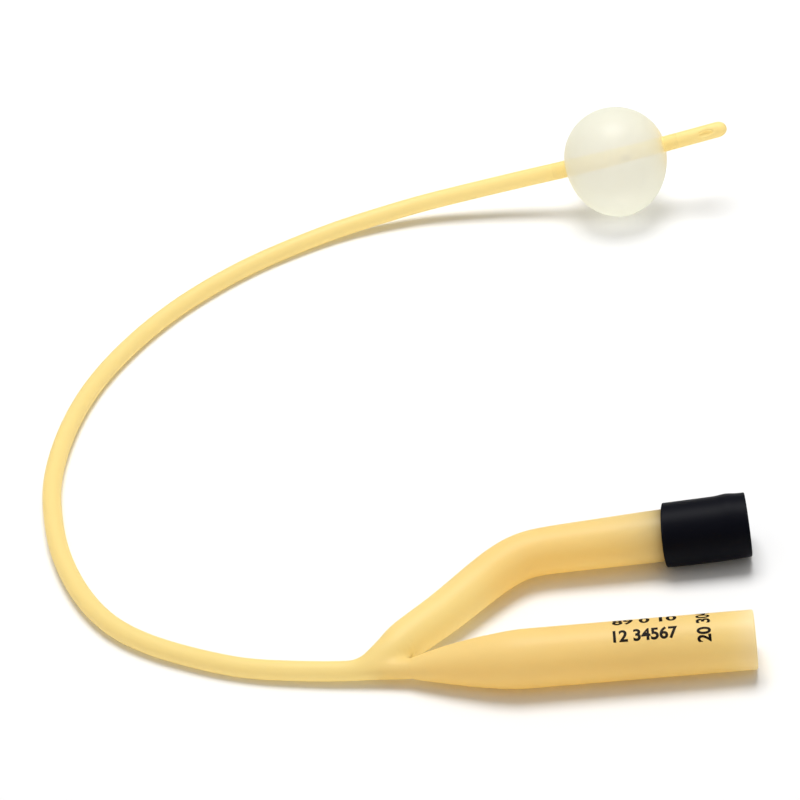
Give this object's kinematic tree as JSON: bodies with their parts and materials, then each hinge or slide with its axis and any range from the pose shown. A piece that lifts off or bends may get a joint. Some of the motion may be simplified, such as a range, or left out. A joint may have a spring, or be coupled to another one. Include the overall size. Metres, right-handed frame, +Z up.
{
  "type": "foley urinary catheter",
  "caption": "Slender dipped rubber drainage catheter with a filled translucent balloon near its rounded tip, a flared drainage funnel and a side arm capped by a black valve sleeve.",
  "frame": {"origin": "middle of the footprint, on the surface that the catheter lies on", "axes": "+X is the way that urine leaves the drainage funnel, +Z is up, and +Y runs from the funnel's side of the curve to the balloon's side"},
  "size_m": [0.1048, 0.1269, 0.0174],
  "materials": {
    "yellow_latex": "dipped natural latex, pale yellow, smooth with a soft satin sheen",
    "milky_latex": "thin stretched latex, milky and translucent, slightly glossy",
    "black_rubber": "moulded blue-black rubber, satin",
    "white_rubber": "moulded soft white rubber, matt"
  },
  "bodies": {
    "root": {"latex_body": "yellow_latex", "balloon": "milky_latex", "valve_sleeve": "black_rubber", "valve_plug": "white_rubber"}
  },
  "joints": []
}
